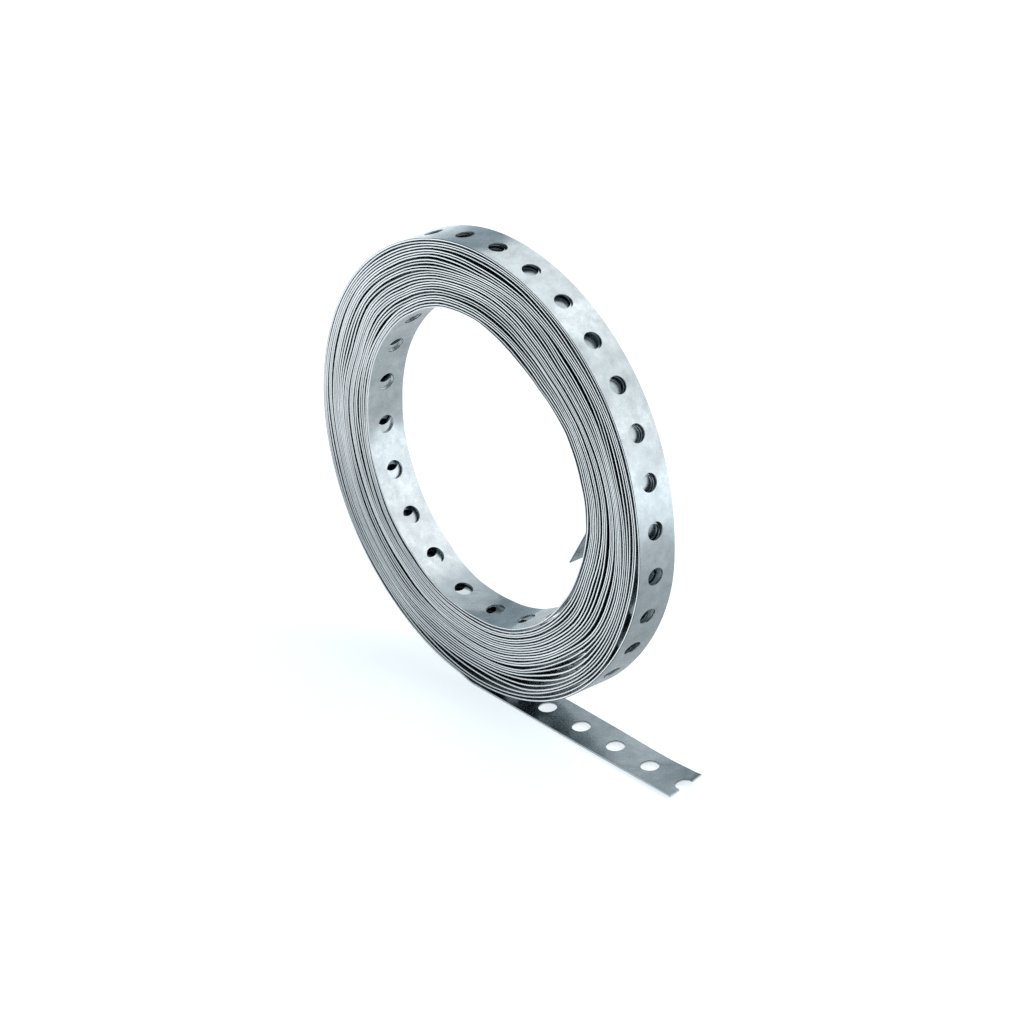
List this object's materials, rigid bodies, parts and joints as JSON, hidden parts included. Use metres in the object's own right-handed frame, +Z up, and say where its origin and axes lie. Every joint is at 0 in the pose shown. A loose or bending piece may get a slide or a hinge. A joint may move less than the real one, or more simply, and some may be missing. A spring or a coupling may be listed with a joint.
{
  "type": "perforated steel strap",
  "caption": "Coil of galvanised perforated steel strap standing on its edge, with a flat tail ending in a snipped hole.",
  "frame": {"origin": "on the floor, under the middle of the whole strap", "axes": "+Z up, +Y along the coil's axis across the strap's width, +X along the tail towards its snipped end"},
  "size_m": [0.1931, 0.017, 0.1783],
  "materials": {
    "galvanised_steel": "satin zinc coat with a faint bloom"
  },
  "bodies": {
    "root": {"strap": "galvanised_steel"}
  },
  "joints": []
}
